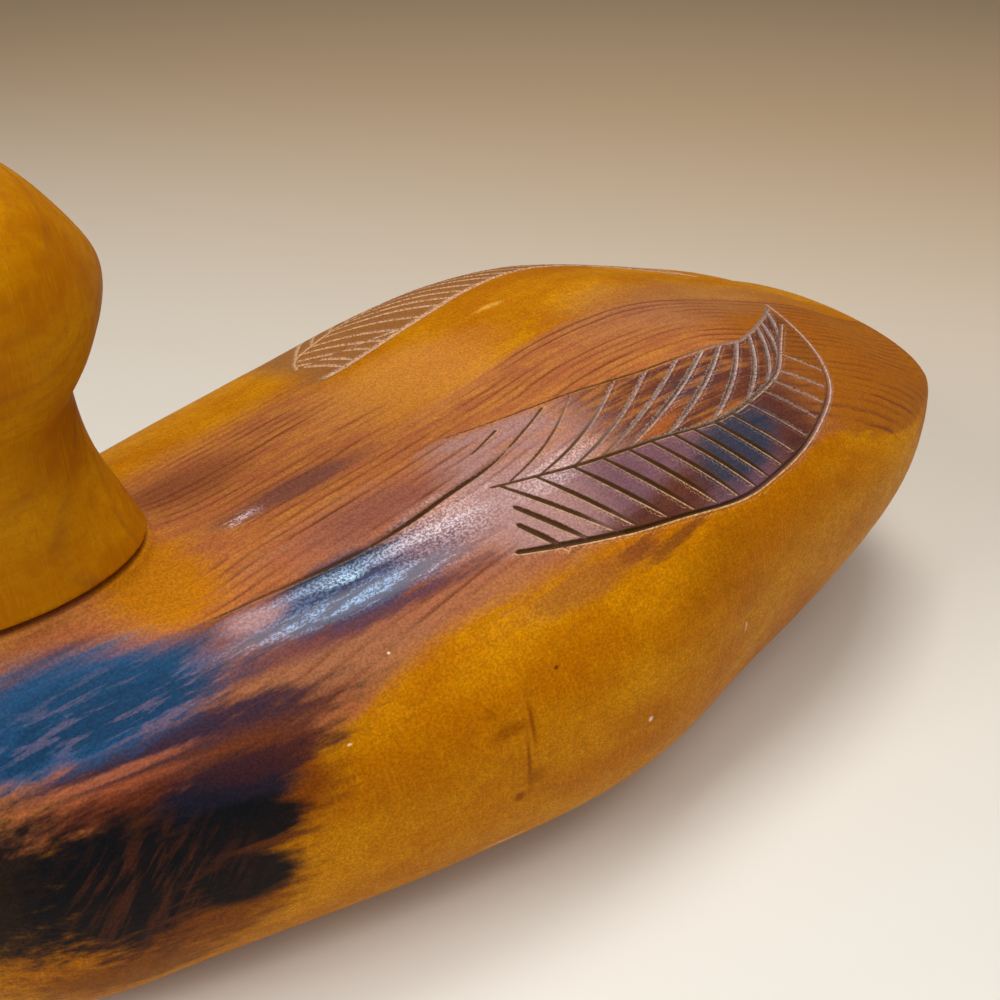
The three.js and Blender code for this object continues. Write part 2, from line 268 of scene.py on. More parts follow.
def skin_mesh(skin, span, cells, near_carving):
    """A closed form whose grid of cells is drawn finer wherever near_carving asks for it.
    near_carving(points, level) says which cells are split at that level."""
    bm = bmesh.new()
    bmesh.ops.create_grid(bm, x_segments=cells[0], y_segments=cells[1], size=1)
    middle, reach = sum(span) / 2, (span[1] - span[0]) / 2

    def place(chart):
        return skin(middle + reach * np.sin(chart[:, 0] * math.pi / 2), chart[:, 1] * 180)

    for level in range(4):
        squares = [face for face in bm.faces if len(face.verts) == 4]
        centres = np.array([face.calc_center_median() for face in squares])
        chosen = [square for square, near in zip(squares, near_carving(place(centres), level)) if near]
        edges = list({edge for square in chosen for edge in square.edges})
        bmesh.ops.subdivide_edges(bm, edges=edges, cuts=1, use_grid_fill=True)
    bm.verts.index_update()
    turn = bm.verts.layers.float.new("turn")
    charts = np.array([vert.co for vert in bm.verts])
    for vert, chart, point in zip(bm.verts, charts, place(charts)):
        vert[turn] = chart[1] * 180
        vert.co = point
    bmesh.ops.remove_doubles(bm, verts=bm.verts, dist=0.005)
    bmesh.ops.dissolve_degenerate(bm, edges=bm.edges, dist=0.001)
    bmesh.ops.recalc_face_normals(bm, faces=bm.faces)
    return bm


body_tree = point_tree(body_cuts[:, :3])
BODY_BANDS = (8, 4.4, 1.9, 0.95)
SEAT_BANDS = (6, 3.5, 1.2, 0)
UNDERSIDE_BANDS = (5, 2, 0, 0)


def near_body_carving(points, level):
    """The cells of the body that lie close to a cut, the seat's rim or the edge of the underside."""
    x, y, z = points.T
    to_cut = np.array([body_tree.find(point)[2] for point in points])
    from_seat = np.hypot((x - SEAT_X) / SEAT_HALF_LENGTH, y / SEAT_HALF_WIDTH) - 1
    to_rim = np.where(z > 70, np.abs(from_seat) * SEAT_HALF_WIDTH, 99)
    to_floor = np.where(z > 0, z, 99)
    return (
        (to_cut < BODY_BANDS[level])
        | (to_rim < SEAT_BANDS[level])
        | (to_floor < UNDERSIDE_BANDS[level])
    )


def carve(points, tree, cuts, reach):
    """How deep each point is cut, and four values from 0 to 1 for the colour: how far inside a cut
    it lies, with 0.5 on the cut's edge, how dark the cut is painted, as shade and dried stain, how far beyond the
    cut's lower edge it lies, with 0.5 on that edge and 1 mm of skin per half, and how clear the burr there is, which
    is painted pale as a highlight."""
    depth, inside, stain, beyond, burr = np.zeros((5, len(points)))
    for i, point in enumerate(points):
        found = tree.find_range(point, reach)
        if not found:
            continue
        rows = cuts[[index for _, index, _ in found]]
        distance = np.array([away for _, _, away in found])
        floor = np.clip(1 - np.sqrt((distance / rows[:, 3]) ** 2 + 0.02), 0, 1)
        depth[i] = np.max(rows[:, 4] * floor)
        nearest = rows[np.argmin(distance - rows[:, 3])]
        inside[i] = np.clip(0.5 - np.min(distance - rows[:, 3]), 0, 1)
        offset = (point - nearest[:3]) @ nearest[7:10] - nearest[3]
        beyond[i] = np.clip(0.5 + offset / 2, 0, 1)
        stain[i], burr[i] = nearest[5:7]
    lifted = 0.08 * burr * np.exp(-(((beyond - 0.58) / 0.1) ** 2))
    return depth - lifted, {"inside_cut": inside, "stain": stain, "beyond_cut": beyond, "burr": burr}


STEP_DROP = 0.9
STEP_FADE = 13


def terrace(points, turns):
    """How far the shoulder is shaved down outside the step line, fading into the flank."""
    x = points[:, 0]
    side = np.abs(turns)
    line = shoulder_step(np.clip(x, -33, 58))
    radius = np.hypot(points[:, 1], points[:, 2] - widest(x))
    outside = np.radians(side - line) * radius
    along = eased(x, -34, -8) * (1 - eased(x, 26, 56))
    return STEP_DROP * along * eased(outside, -0.9, 0.2) * np.exp(-np.clip(outside, 0, None) / STEP_FADE)


def finished_piece(bm, name, attributes):
    """Turns a bmesh in millimetres into the named object, in metres, with its vertex values."""
    mesh = bpy.data.meshes.new(name)
    bm.to_mesh(mesh)
    bm.free()
    for label, values in attributes.items():
        layer = mesh.attributes.new(label, "FLOAT", "POINT")
        layer.data.foreach_set("value", np.asarray(values, np.float32))
    mesh.transform(Matrix.Scale(0.001, 4))
    mesh.shade_smooth()
    piece = bpy.data.objects.new(name, mesh)
    bpy.context.scene.collection.objects.link(piece)
    return piece


# The dents and the low waves that the knife left, as (place, radius, depth).
DENTS = (((1.7, 72, 66), 2.2, 0.5), ((60, 52, 62), 3, 0.25), ((-20, 80, 44), 0.9, 0.5), ((-54, 77, 52), 0.9, 0.4))
KNIFE_WAVE = 22
KNIFE_DEPTH = 0.16

bm = skin_mesh(body_skin, (TAIL_X, BREAST_X), (104, 92), near_body_carving)
points = np.array([vert.co for vert in bm.verts])
normals = np.array([vert.normal for vert in bm.verts])
turn_layer = bm.verts.layers.float["turn"]
turns = np.array([vert[turn_layer] for vert in bm.verts])
cut_depth, cut_values = carve(points, body_tree, body_cuts, 1.6)
sink = cut_depth + terrace(points, turns)
for place, radius, depth in DENTS:
    sink += depth * np.exp(-((np.linalg.norm(points - place, axis=1) / radius) ** 2))
waves = np.array([noise.noise(Vector(point) / KNIFE_WAVE) for point in points])
free = eased(points[:, 2], 2, 8) * (1 - eased(points[:, 2], 86.5, 88.5) * eased(points[:, 0], 50, 56))
sink += KNIFE_DEPTH * waves * free
for vert, point in zip(bm.verts, points - normals * sink[:, None]):
    vert.co = point
bmesh.ops.triangulate(bm, faces=bm.faces)

# How far down the flank the brown stain was rubbed, as degrees round the body, and how much of
# the left wing is purple below its vein, or tinted above it.
stain_limit = profile(
    (TAIL_X, 80), (-150, 76), (-120, 68), (-95, 60), (-70, 61), (-40, 52), (-6, 44.5),
    (15, 47), (31, 52), (51, 61), (147, 64),
)
x = points[:, 0]
stained = 1 - eased(np.abs(turns) - stain_limit(x), -8, 8)
vein_turn = wing_vein(np.clip(x, -122, -8))
in_wing = eased(x, WING_TIP_X, -122) * (1 - eased(x, -8, 4))
below_vein = eased(turns - vein_turn, -0.5, 0.5) * in_wing
below_vein *= 1 - eased(turns - outer_edge(np.clip(x, WING_TIP_X, -2.5)), -0.6, 0.4)
above_vein = eased(turns - inner_edge(np.clip(x, WING_TIP_X, -9)), -0.5, 1.5) * in_wing
above_vein *= 1 - eased(turns - vein_turn, -0.5, 0.5)
far_wing = eased(-turns - far_inner_edge(np.clip(x, WING_TIP_X, -5)), -1.2, 0) * in_wing
far_wing *= 1 - eased(-turns - outer_edge(np.clip(x, WING_TIP_X, -2.5)), -0.6, 0.4)
body = finished_piece(bm, "duck_body", {
    **cut_values,
    "turn": turns,
    "stained": stained,
    "below_vein": below_vein,
    "above_vein": above_vein,
    "far_wing": far_wing,
})


def feed(tree, socket, value):
    """Links a socket to another node's output, or sets it to a plain value."""
    if isinstance(value, bpy.types.NodeSocket):
        tree.links.new(value, socket)
    else:
        socket.default_value = value


def work(tree, operation, *values):
    """A Math node."""
    node = tree.nodes.new("ShaderNodeMath")
    node.operation = operation
    for socket, value in zip(node.inputs, values):
        feed(tree, socket, value)
    return node.outputs[0]


def vector_work(tree, operation, *values):
    """A Vector Math node, which gives a number for a length or a dot product."""
    node = tree.nodes.new("ShaderNodeVectorMath")
    node.operation = operation
    for socket, value in zip(node.inputs, values):
        feed(tree, socket, value)
    return node.outputs["Value" if operation in ("LENGTH", "DOT_PRODUCT") else "Vector"]


def ramp(tree, value, low, high, start=0.0, end=1.0):
    """A smooth rise from start at low to end at high."""
    node = tree.nodes.new("ShaderNodeMapRange")
    node.interpolation_type = "SMOOTHSTEP"
    for name, setting in (("Value", value), ("From Min", low), ("From Max", high), ("To Min", start), ("To Max", end)):
        feed(tree, node.inputs[name], setting)
    return node.outputs[0]


def blend(tree, amount, under, over, kind="MIX"):
    """One colour over another."""
    node = tree.nodes.new("ShaderNodeMix")
    node.data_type = "RGBA"
    node.blend_type = kind
    feed(tree, node.inputs[0], amount)
    feed(tree, node.inputs[6], under)
    feed(tree, node.inputs[7], over)
    return node.outputs[2]


def grain_noise(tree, place, stretch_by, scale, detail=3.0, roughness=0.55):
    """Noise over a place in millimetres, stretched by dividing the place by stretch_by."""
    node = tree.nodes.new("ShaderNodeTexNoise")
    tree.links.new(vector_work(tree, "DIVIDE", place, stretch_by), node.inputs["Vector"])
    node.inputs["Scale"].default_value = scale
    node.inputs["Detail"].default_value = detail
    node.inputs["Roughness"].default_value = roughness
    return node.outputs[0]


def colour(red, green, blue):
    """A shader colour from the red, green and blue that a screen would show, 0 to 255."""
    linear = [((c / 255 + 0.055) / 1.055) ** 2.4 if c > 10 else c / 255 / 12.92 for c in (red, green, blue)]
    return (*linear, 1.0)


def new_group(name, takes, gives):
    """An empty node group with named inputs and outputs, and its two end nodes."""
    group = bpy.data.node_groups.new(name, "ShaderNodeTree")
    for label, kind in takes:
        group.interface.new_socket(label, in_out="INPUT", socket_type=kind)
    for label, kind in gives:
        group.interface.new_socket(label, in_out="OUTPUT", socket_type=kind)
    return group, group.nodes.new("NodeGroupInput").outputs, group.nodes.new("NodeGroupOutput").inputs


def use_group(tree, group, **values):
    """Places a node group in a material, with its inputs given by name."""
    node = tree.nodes.new("ShaderNodeGroup")
    node.node_tree = group
    for label, value in values.items():
        feed(tree, node.inputs[label.replace("_", " ")], value)
    return node.outputs


def growth_rings_group():
    """The rings of the trunk cut lengthwise: how far out a place lies, and its dark late wood."""
    group, takes, gives = new_group(
        "growth rings",
        [("Place", "NodeSocketVector"), ("Pith", "NodeSocketVector"), ("Spacing", "NodeSocketFloat"),
         ("Waver", "NodeSocketFloat")],
        [("Radius", "NodeSocketFloat"), ("Late wood", "NodeSocketFloat")],
    )
    from_pith = vector_work(group, "SUBTRACT", takes["Place"], takes["Pith"])
    flat = vector_work(group, "MULTIPLY", from_pith, (0.0, 1.0, 1.0))
    radius = vector_work(group, "LENGTH", flat)
    slow = work(group, "SUBTRACT", grain_noise(group, takes["Place"], (110.0, 40.0, 40.0), 1.0, 2.0), 0.5)
    quick = work(group, "SUBTRACT", grain_noise(group, takes["Place"], (26.0, 5.0, 5.0), 1.0, 2.0), 0.5)
    wander = work(group, "MULTIPLY_ADD", slow, 5.0, work(group, "MULTIPLY", quick, 1.3))
    wavy = work(group, "MULTIPLY_ADD", wander, takes["Waver"], radius)
    ring = work(group, "DIVIDE", wavy, takes["Spacing"])
    share = work(group, "FRACT", ring)
    dark = work(group, "MULTIPLY", ramp(group, share, 0.4, 0.8), ramp(group, share, 0.82, 0.98, 1.0, 0.0))
    dice = group.nodes.new("ShaderNodeTexWhiteNoise")
    dice.noise_dimensions = "1D"
    group.links.new(work(group, "FLOOR", ring), dice.inputs["W"])
    fade = ramp(group, grain_noise(group, takes["Place"], (40.0, 7.0, 7.0), 1.0, 2.0), 0.38, 0.62, 0.15, 1.0)
    strength = work(group, "MULTIPLY", work(group, "MULTIPLY_ADD", dice.outputs["Value"], 0.6, 0.4), fade)
    feed(group, gives["Radius"], wavy)
    feed(group, gives["Late wood"], work(group, "MULTIPLY", dark, strength))
    return group


def stain_cloud_group():
    """A rubbed-on patch of stain, also used for painted sheen, highlights and shadow: an egg-shaped place whose rim is
    ragged by an uneven value from -1 to 1.
    """
    group, takes, gives = new_group(
        "stain and light cloud",
        [("Place", "NodeSocketVector"), ("Centre", "NodeSocketVector"), ("Radii", "NodeSocketVector"),
         ("Softness", "NodeSocketFloat"), ("Raggedness", "NodeSocketFloat"), ("Uneven", "NodeSocketFloat")],
        [("Mask", "NodeSocketFloat")],
    )
    from_centre = vector_work(group, "SUBTRACT", takes["Place"], takes["Centre"])
    out = vector_work(group, "LENGTH", vector_work(group, "DIVIDE", from_centre, takes["Radii"]))
    ragged = work(group, "MULTIPLY_ADD", takes["Uneven"], takes["Raggedness"], out)
    inner = work(group, "SUBTRACT", 1.0, takes["Softness"])
    outer = work(group, "ADD", 1.0, takes["Softness"])
    feed(group, gives["Mask"], ramp(group, ragged, inner, outer, 1.0, 0.0))
    return group


def varnished_wood_group():
    """Amber varnish over softwood: slow mottling, fine freckles, fibres and fine rubbing marks."""
    group, takes, gives = new_group(
        "varnished wood",
        [("Place", "NodeSocketVector"), ("Deep", "NodeSocketColor"), ("Amber", "NodeSocketColor"),
         ("Light", "NodeSocketColor")],
        [("Colour", "NodeSocketColor"), ("Freckle", "NodeSocketFloat"), ("Relief", "NodeSocketFloat")],
    )
    place = takes["Place"]
    mottle = grain_noise(group, place, (38.0, 20.0, 20.0), 1.0, 5.0, 0.6)
    freckle = grain_noise(group, place, (2.6, 2.2, 2.2), 1.0, 4.0, 0.7)
    fibre = grain_noise(group, place, (26.0, 0.9, 0.9), 1.0, 3.0, 0.6)
    rubbing = grain_noise(group, place, (0.5, 6.0, 6.0), 1.0, 2.0, 0.6)
    wood = blend(group, ramp(group, mottle, 0.36, 0.6), takes["Deep"], takes["Amber"])
    wood = blend(group, ramp(group, mottle, 0.54, 0.72), wood, takes["Light"])
    wood = blend(group, ramp(group, freckle, 0.35, 0.75, 0.0, 0.6), wood, takes["Deep"])
    wood = blend(group, ramp(group, fibre, 0.45, 0.75, 0.0, 0.4), wood, takes["Deep"])
    wood = blend(group, ramp(group, rubbing, 0.5, 0.75, 0.0, 0.35), wood, takes["Light"])
    pores = grain_noise(group, place, (0.8, 0.35, 0.35), 1.0, 2.0, 0.7)
    wood = blend(group, ramp(group, pores, 0.5, 0.75, 0.0, 0.7), wood, takes["Deep"])
    scratch = work(group, "ABSOLUTE", work(group, "SUBTRACT", grain_noise(group, place, (9.0, 5.0, 5.0), 1.0, 2.0), 0.5))
    where = ramp(group, grain_noise(group, place, (14.0, 14.0, 9.0), 1.0, 2.0), 0.52, 0.6)
    scratched = work(group, "MULTIPLY", ramp(group, scratch, 0.0015, 0.005, 0.6, 0.0), where)
    wood = blend(group, scratched, wood, takes["Deep"])
    feed(group, gives["Colour"], wood)
    feed(group, gives["Freckle"], freckle)
    feed(group, gives["Relief"], work(group, "ADD", work(group, "ADD", fibre, freckle), rubbing))
    return group


growth_rings = growth_rings_group()
stain_and_light_cloud = stain_cloud_group()
varnished_wood = varnished_wood_group()

AMBER = colour(200, 131, 4)
AMBER_DEEP = colour(176, 102, 2)
AMBER_LIGHT = colour(212, 142, 10)
RED_BROWN = colour(166, 94, 60)
TAN_BROWN = colour(186, 116, 58)
TAIL_BROWN = colour(160, 90, 22)
LATE_WOOD = colour(112, 58, 34)
VARNISH_GLOW = colour(255, 196, 96)
BODY_PITH = (0.0, -150.0, 11.0)
RING_SPACING = 2.1
BOUNDARY_RING = 179.0

# The rubbed patches as (x, degrees, reach along, reach in degrees, softness, raggedness, colour,
# strength), in the order they were laid on. A few are painted light or shade instead, and say so.
BACK_PATCHES = (
    (24, 6.5, 17, 2.2, 0.5, 1.0, colour(112, 68, 62), 0.85),
    (41, -4, 14, 4, 0.5, 1.4, colour(124, 68, 42), 0.7),
    (16, 19.5, 25, 5.5, 0.5, 1.2, colour(152, 92, 80), 0.65),
    (12, 19.5, 17, 3.5, 0.5, 1.3, colour(128, 74, 64), 0.6),
    (-18, -2, 24, 7, 0.5, 0.6, colour(204, 132, 62), 0.6),
    # A painted sheen, greyish over the crest toward the tail, and a painted highlight, the small gloss spot on the
    # crest:
    (-105, 6, 40, 9, 0.6, 0.9, colour(156, 108, 80), 0.45),
    (-55.4, -8.8, 3.2, 0.8, 0.9, 2.0, colour(246, 186, 76), 0.5),
    (-12, 53, 16, 3, 0.6, 1.5, colour(128, 74, 52), 0.4),
    (-45, 68, 12, 6, 0.8, 2.0, colour(146, 84, 4), 0.4),
    (-27, 52.5, 6, 1.6, 0.6, 1.6, colour(120, 58, 30), 0.7),
    (-38, 56.2, 8, 1.5, 0.6, 1.8, colour(110, 54, 26), 0.7),
    (62, 13, 12, 12, 0.4, 0.5, colour(184, 112, 6), 0.95),
    (-6, 31, 22, 9, 0.5, 0.6, colour(184, 136, 118), 0.85),
    (10, 42, 34, 6, 0.5, 0.9, colour(158, 98, 72), 0.75),
    (48, 46, 22, 8, 0.5, 0.9, colour(150, 98, 70), 0.75),
    (32, 38.8, 30, 2.2, 0.6, 1.5, colour(84, 46, 60), 0.85),
    (50, 40.5, 24, 2.2, 0.6, 1.5, colour(106, 60, 62), 0.7),
    (56, 34, 16, 5, 0.6, 1.4, colour(132, 84, 78), 0.7),
    (60, 27, 14, 2, 0.6, 1.5, colour(116, 62, 44), 0.7),
)
SHEEN_PATCHES = (
    (26, 31, 30, 6.5, 0.4, 0.7, colour(112, 76, 86), 0.9),
    (33, 32.5, 19, 6, 0.5, 1.0, colour(40, 54, 88), 0.92),
    # A painted shadow along the step line:
    (29, 26.6, 14, 1.6, 0.4, 0.3, colour(30, 46, 66), 0.95),
    (51, 29.5, 6.5, 2.6, 0.5, 0.8, colour(186, 142, 138), 0.7),
)
BREAST_PATCHES = (
    (70, 54, 27, 9.5, 0.4, 0.9, colour(80, 42, 38), 0.95),
    (78, 48.5, 24, 4.5, 0.5, 1.2, colour(48, 36, 56), 0.9),
    (88, 34, 27, 12.5, 0.3, 0.35, colour(10, 78, 122), 0.97),
    (78, 30, 20, 3, 0.6, 1.2, colour(6, 56, 88), 0.6),
    (82, 38, 24, 5, 0.5, 1.5, colour(8, 48, 78), 0.7),
    (86, 51.5, 15, 1.3, 0.5, 1.2, colour(164, 92, 62), 0.75),
    (88, 55.5, 14, 1.6, 0.5, 1.2, colour(152, 78, 48), 0.75),
    (88, 60.5, 15, 4, 0.5, 1.0, colour(108, 46, 28), 0.85),
    (63, 69, 13.5, 13, 0.4, 0.5, colour(116, 54, 14), 0.9),
    (79, 92, 19, 13, 0.4, 0.7, colour(112, 54, 16), 0.9),
    (92, 108, 20, 9, 0.5, 1.2, colour(112, 58, 14), 0.8),
    (84, 74, 19, 16, 0.3, 0.6, colour(66, 32, 22), 0.95),
    (70, 66.5, 13, 8, 0.3, 0.45, colour(22, 26, 42), 0.95),
    (62, 62, 12, 4, 0.5, 0.9, colour(60, 32, 36), 0.85),
    (70.5, 77, 13, 7.5, 0.25, 0.4, colour(13, 18, 24), 0.97),
    (64, 83, 8, 1.1, 0.5, 0.7, colour(98, 50, 24), 0.8),
    (71, 89.5, 10, 5.5, 0.3, 0.3, colour(13, 18, 24), 0.97),
    (92, 81, 15.5, 18, 0.3, 0.6, colour(13, 18, 24), 0.97),
    (126, 74, 34, 26, 0.3, 0.5, colour(13, 18, 24), 0.97),
)
# Small marks on the flank: a brown knot and strokes, a pit, a crack, chips and a worn edge.
FLANK_MARKS = (
    (14.2, 92.5, 1.2, 1.0, 0.6, 0.4, colour(140, 66, 2), 0.9),
    (10.6, 89, 2.2, 1.4, 0.7, 1.2, colour(150, 82, 4), 0.7),
    (15, 76, 4.2, 1.7, 0.8, 1.6, colour(150, 82, 4), 0.85),
    (18.5, 70.5, 1.6, 1.3, 0.8, 1.4, colour(154, 86, 4), 0.7),
    (10.2, 76, 0.45, 5.5, 0.8, 0.6, colour(136, 70, 4), 0.85),
    (11.9, 85, 0.45, 5.5, 0.8, 0.6, colour(136, 70, 4), 0.85),
    (1.7, 66.7, 0.5, 0.45, 0.4, 0.3, colour(100, 46, 8), 0.85),
    (-20.1, 89.3, 0.6, 0.4, 0.5, 0.8, colour(232, 210, 190), 0.9),
    (-53.8, 90, 0.5, 0.9, 0.5, 0.8, colour(226, 188, 150), 0.8),
    (32.1, 48.3, 0.3, 0.28, 0.5, 0.6, colour(228, 204, 172), 0.9),
    (46.6, 65, 0.5, 0.35, 0.5, 0.8, colour(226, 196, 140), 0.8),
    (14, 111.8, 6, 0.9, 0.5, 0.8, colour(222, 188, 146), 0.7),
)
STREAK_MAUVE = colour(104, 92, 118)
BREAST_BROWN = colour(74, 38, 26)
SPECULUM = colour(2, 50, 74)
WING_NAVY = colour(44, 40, 62)
WING_TAN = colour(168, 128, 124)
WING_LILAC = colour(104, 75, 90)
WING_BROWN = colour(76, 41, 40)
WING_ORANGE = colour(154, 82, 40)
FAR_WING_TAN = colour(142, 94, 54)
FAR_DUST = colour(202, 158, 118)
# Painted sheen: the colours of the light's reflection, painted on the shoulder and on the wing's front.
SHEEN_BLUE_PAINTED = colour(142, 178, 222)
SHEEN_GLINT_PAINTED = colour(180, 216, 240)
SHEEN_WARM_PAINTED = colour(222, 200, 206)
GROOVE_DARK = colour(72, 46, 18)
GROOVE_DUST = colour(156, 136, 126)
GROOVE_CORE = colour(84, 58, 46)
BURR_HIGHLIGHT = colour(206, 164, 118)
BURR_DUST_AND_HIGHLIGHT = colour(200, 178, 176)


def body_material():
    material = bpy.data.materials.new("varnished_stained_softwood")
    material.use_nodes = True
    tree = material.node_tree
    shader = tree.nodes["Principled BSDF"]
    coords = tree.nodes.new("ShaderNodeTexCoord")
    place = vector_work(tree, "MULTIPLY", coords.outputs["Object"], (1000.0, 1000.0, 1000.0))
    split = tree.nodes.new("ShaderNodeSeparateXYZ")
    tree.links.new(place, split.inputs[0])
    along = split.outputs[0]

    def attribute(name):
        node = tree.nodes.new("ShaderNodeAttribute")
        node.attribute_name = name
        return node.outputs["Fac"]

    def times(first, *others):
        for other in others:
            first = work(tree, "MULTIPLY", first, other)
        return first

    # Bare varnished wood, and the unevenness that every rubbed patch shares.
    bare = use_group(tree, varnished_wood, Place=place, Deep=AMBER_DEEP, Amber=AMBER, Light=AMBER_LIGHT)
    wood = bare["Colour"]
    streak = grain_noise(tree, place, (30.0, 1.7, 1.7), 1.0, 4.0, 0.6)
    cloud = grain_noise(tree, place, (11.0, 8.0, 8.0), 1.0, 3.0)
    broad = grain_noise(tree, place, (46.0, 6.0, 6.0), 1.0, 2.0)
    grit = grain_noise(tree, place, (0.65, 0.5, 0.5), 1.0, 2.0, 0.7)
    uneven = work(tree, "SUBTRACT", work(tree, "MULTIPLY_ADD", streak, 1.5, work(tree, "MULTIPLY", cloud, 0.6)), 1.05)
    turn = attribute("turn")
    skin_place = tree.nodes.new("ShaderNodeCombineXYZ")
    feed(tree, skin_place.inputs[0], along)
    feed(tree, skin_place.inputs[1], turn)
    skin_place = skin_place.outputs[0]

    def patch(x, degrees, reach, spread, softness, raggedness, at=skin_place):
        """How much of a patch of stain, or of painted sheen, highlight or shadow, lies at a place on the skin."""
        cloud_at = use_group(
            tree, stain_and_light_cloud, Place=at, Centre=(x, degrees, 0.0), Radii=(reach, spread, 1.0),
            Softness=softness, Raggedness=raggedness, Uneven=uneven,
        )
        return cloud_at["Mask"]

    # The reddish upper side with close late wood, bounded by one growth ring.
    rings = use_group(tree, growth_rings, Place=place, Pith=BODY_PITH, Spacing=RING_SPACING, Waver=1.0)
    outside_ring = ramp(tree, rings["Radius"], BOUNDARY_RING - 1.5, BOUNDARY_RING + 1.5)
    rubbed_to = ramp(tree, work(tree, "MULTIPLY_ADD", uneven, 0.6, attribute("stained")), 0.3, 0.7)
    over_front = times(ramp(tree, along, -14.0, 4.0), ramp(tree, turn, -20.0, -8.0))
    reddish = times(work(tree, "MAXIMUM", outside_ring, over_front), rubbed_to)
    brown = blend(tree, ramp(tree, uneven, -0.2, 0.15), TAN_BROWN, RED_BROWN)
    brown = blend(tree, ramp(tree, along, -84.0, -112.0), brown, TAIL_BROWN)
    wood = blend(tree, times(reddish, 0.85), wood, brown)
    for *where, stain, strength in BACK_PATCHES:
        wood = blend(tree, times(patch(*where), strength), wood, stain)
    by_neck = patch(66.0, 10.0, 17.0, 18.0, 0.3, 0.3)
    line_strength = times(work(tree, "MULTIPLY_ADD", reddish, 0.85, 0.08), ramp(tree, by_neck, 0.0, 1.0, 1.0, 0.15))
    beside_step = patch(14.0, 20.0, 28.0, 5.5, 0.5, 0.5)
    line_strength = work(tree, "MULTIPLY_ADD", beside_step, 0.5, line_strength)
    wood = blend(tree, times(rings["Late wood"], line_strength), wood, LATE_WOOD)

    # The shoulder's band under the step line: stained stripes with a painted shadow along the step,
    # then granular pearly stripes painted as the reflection of the light above, running on over the wing's front, and
    # a small painted highlight on the back's ridge by the neck.
    for *where, stain, strength in SHEEN_PATCHES:
        wood = blend(tree, times(patch(*where), strength), wood, stain)
    stripe = ramp(tree, streak, 0.44, 0.56)
    grains = ramp(tree, grit, 0.4, 0.62, 0.12, 1.0)
    painted_sheen = blend(tree, ramp(tree, along, 26.0, 6.0), SHEEN_BLUE_PAINTED, SHEEN_WARM_PAINTED)
    upper_painted_sheen = patch(21.0, 28.0, 26.0, 1.3, 0.5, 0.8)
    lower_painted_sheen = patch(33.0, 34.4, 25.0, 2.4, 0.5, 0.8)
    wood = blend(tree, times(upper_painted_sheen, grains, 0.6), wood, painted_sheen)
    wood = blend(tree, times(lower_painted_sheen, stripe, grains, 0.75), wood, painted_sheen)
    wood = blend(tree, times(patch(24.0, 31.5, 28.0, 5.5, 0.5, 0.6), stripe, grains, 0.25), wood, painted_sheen)
    wood = blend(tree, times(patch(-3.0, 27.5, 20.0, 4.5, 0.6, 0.8), grains, 0.58), wood, SHEEN_WARM_PAINTED)
    wood = blend(tree, times(patch(31.5, 29.3, 4.5, 1.0, 0.5, 1.2), grains, 0.9), wood, SHEEN_GLINT_PAINTED)
    wood = blend(tree, times(patch(38.0, 7.1, 4.0, 1.2, 0.6, 1.6), stripe, grains, 0.8), wood, SHEEN_WARM_PAINTED)

    # The blue-black breast, on both sides of the body and round its front, with knife marks
    # running down and forward through it.
    both_sides = tree.nodes.new("ShaderNodeCombineXYZ")
    side = work(tree, "ABSOLUTE", turn)
    feed(tree, both_sides.inputs[0], along)
    feed(tree, both_sides.inputs[1], side)
    both_sides = both_sides.outputs[0]
    for *where, stain, strength in BREAST_PATCHES:
        wood = blend(tree, times(patch(*where, both_sides), strength), wood, stain)
    blue_streaks = times(patch(80.0, 36.0, 26.0, 10.0, 0.3, 0.8, both_sides), ramp(tree, streak, 0.52, 0.62))
    wood = blend(tree, times(blue_streaks, 0.6), wood, STREAK_MAUVE)
    slanting = tree.nodes.new("ShaderNodeCombineXYZ")
    down_forward = work(tree, "MULTIPLY_ADD", side, 0.95, work(tree, "MULTIPLY", along, 0.5))
    feed(tree, slanting.inputs[0], down_forward)
    feed(tree, slanting.inputs[1], work(tree, "MULTIPLY_ADD", side, -0.55, work(tree, "MULTIPLY", along, 0.86)))
    scraped = grain_noise(tree, slanting.outputs[0], (20.0, 2.6, 1.0), 1.0, 4.0, 0.65)
    knife_marks = times(ramp(tree, scraped, 0.46, 0.64), patch(87.0, 86.0, 15.0, 17.0, 0.5, 0.5, both_sides))
    wood = blend(tree, times(knife_marks, 0.8), wood, BREAST_BROWN)
    for *where, stain, strength in FLANK_MARKS:
        wood = blend(tree, times(patch(*where), strength), wood, stain)

